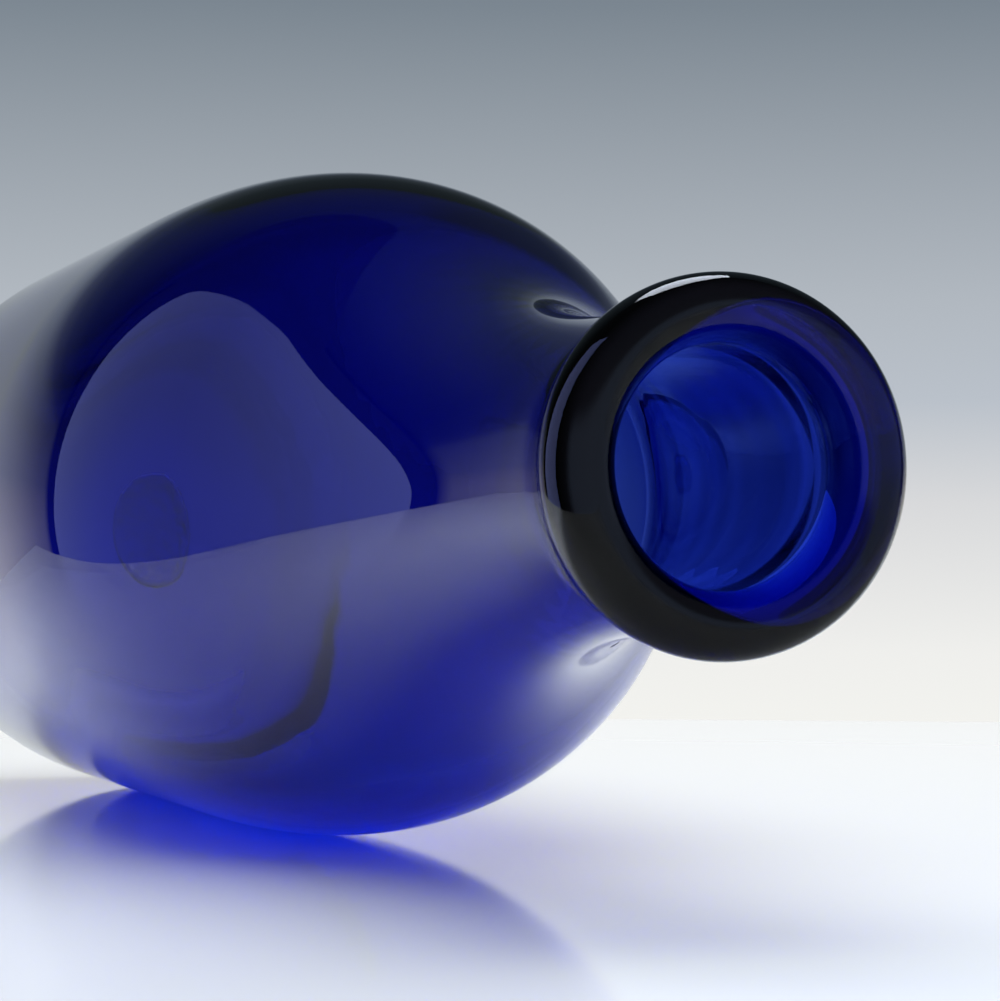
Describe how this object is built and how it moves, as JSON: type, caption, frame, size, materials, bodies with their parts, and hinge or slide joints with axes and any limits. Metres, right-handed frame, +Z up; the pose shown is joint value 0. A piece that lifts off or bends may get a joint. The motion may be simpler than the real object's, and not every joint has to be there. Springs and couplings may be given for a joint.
{
  "type": "glass bottle",
  "caption": "Hand-blown glass serving bottle lying on its side: round body, sloping shoulder, flared neck, rounded collar lip and hollowed base.",
  "frame": {"origin": "on the surface the bottle lies on, below the middle of its length", "axes": "+Y along the bottle's axis from mouth to base, +Z up, +X to the right when looking into the mouth"},
  "size_m": [0.0954, 0.2675, 0.0955],
  "materials": {
    "body_glass": "fire polished",
    "collar_glass": "fire polished",
    "scar_glass": "rough, broken"
  },
  "bodies": {
    "root": {"glass_body": "body_glass", "lip_collar": "collar_glass", "pontil_scar": "scar_glass"}
  },
  "joints": []
}
